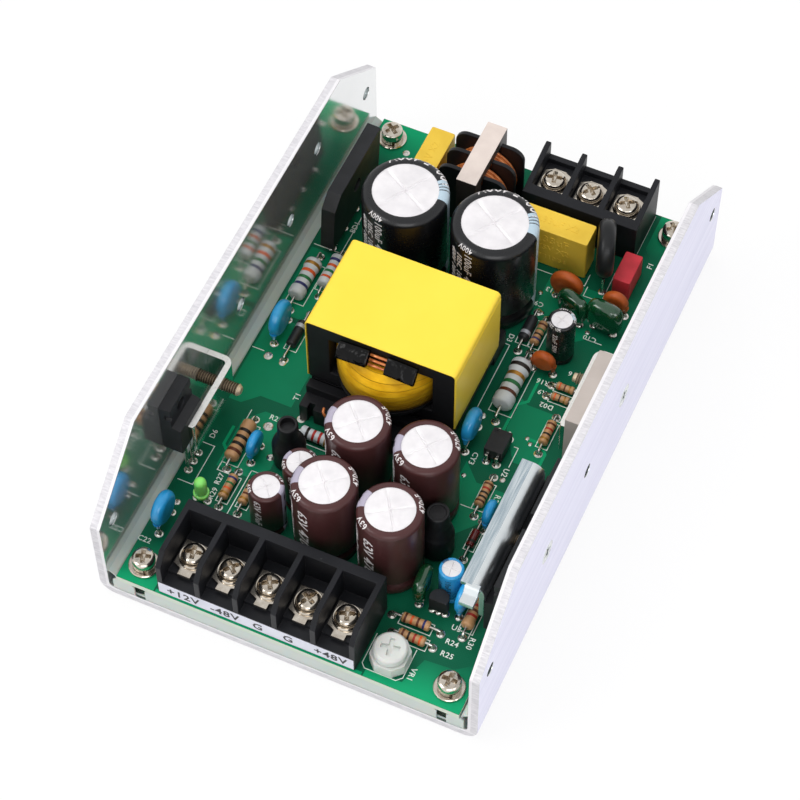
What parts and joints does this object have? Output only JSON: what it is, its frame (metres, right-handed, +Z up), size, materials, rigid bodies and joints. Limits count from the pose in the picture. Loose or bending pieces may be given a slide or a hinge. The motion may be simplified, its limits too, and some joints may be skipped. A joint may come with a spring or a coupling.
{
  "type": "open-frame power supply",
  "caption": "Open-frame switch-mode power supply: a green board with transformer, capacitors, clamped semiconductors and screw terminals in a bent aluminium channel.",
  "frame": {"origin": "middle of the channel's underside", "axes": "+X to the right wall, +Y from the output terminals to the line terminals, +Z up out of the channel"},
  "size_m": [0.094, 0.146, 0.044],
  "materials": {
    "chassis_aluminium": "satin",
    "insulation_film": "satin",
    "pillar_metal": "plated",
    "board_green": "satin",
    "screw_steel": "plated",
    "terminal_black": "satin",
    "terminal_nickel": "plated",
    "ferrite_dark": "matte",
    "bobbin_black": "satin",
    "coil_tape": "gloss",
    "yellow_tape": "gloss",
    "sleeve_black": "satin",
    "ferrite_grey": "matte",
    "copper_wire": "gloss",
    "can_black": "satin",
    "can_brown": "satin",
    "can_blue": "satin",
    "film_yellow": "matte",
    "film_red": "matte",
    "disc_black": "satin",
    "disc_blue": "gloss",
    "disc_orange": "satin",
    "dip_green": "gloss",
    "package_black": "matte",
    "cover_grey": "matte",
    "clamp_zinc": "plated",
    "resistor_grey": "satin",
    "resistor_tan": "satin",
    "diode_black": "matte",
    "led_green": "translucent",
    "trimmer_white": "satin"
  },
  "bodies": {
    "supply": {"chassis": "chassis_aluminium", "insulation_sheet": "insulation_film", "standoffs": "pillar_metal", "circuit_board": "board_green", "board_screws": "screw_steel", "lock_washers": "screw_steel", "flat_washers": "screw_steel", "output_terminal_block": "terminal_black", "output_terminal_plates": "terminal_nickel", "output_terminal_screws": "screw_steel", "input_terminal_block": "terminal_black", "input_terminal_plates": "terminal_nickel", "input_terminal_screws": "screw_steel", "transformer_core": "ferrite_dark", "transformer_bobbin": "bobbin_black", "transformer_coil": "coil_tape", "transformer_tape": "yellow_tape", "transformer_sleeves": "sleeve_black", "line_choke_core": "ferrite_grey", "line_choke_bobbin": "bobbin_black", "line_choke_windings": "copper_wire", "bulk_capacitor_left": "can_black", "bulk_capacitor_right": "can_black", "output_capacitor_1": "can_brown", "output_capacitor_2": "can_brown", "output_capacitor_3": "can_brown", "output_capacitor_4": "can_brown", "filter_capacitor_1": "can_brown", "filter_capacitor_2": "can_brown", "control_capacitor": "can_black", "reference_capacitor": "can_blue", "line_capacitor_front": "film_yellow", "line_capacitor_side": "film_yellow", "film_capacitor": "film_red", "thermistor": "disc_black", "blue_discs": "disc_blue", "orange_discs": "disc_orange", "green_capacitors": "dip_green", "bridge_rectifier": "package_black", "left_rectifier": "package_black", "output_rectifiers": "package_black", "switching_transistor": "package_black", "insulating_cover": "cover_grey", "left_clamp_strap": "clamp_zinc", "right_clamp_strap": "clamp_zinc", "clamp_bar": "clamp_zinc", "clamp_screws": "screw_steel", "output_choke_left": "sleeve_black", "output_choke_right": "sleeve_black", "power_resistors": "resistor_grey", "film_resistors": "resistor_tan", "diodes": "diode_black", "optocoupler": "package_black", "status_led": "led_green", "shunt_reference": "package_black", "trimmer_base": "trimmer_white"},
    "rotor": {"trimmer_rotor": "trimmer_white"}
  },
  "joints": [
    {"name": "trimmer_turn", "type": "hinge", "parent": "supply", "child": "rotor", "pos_m": [0.023, -0.0664, 0.0118], "axis": [0, 0, 1], "range_deg": [-105, 105]}
  ]
}
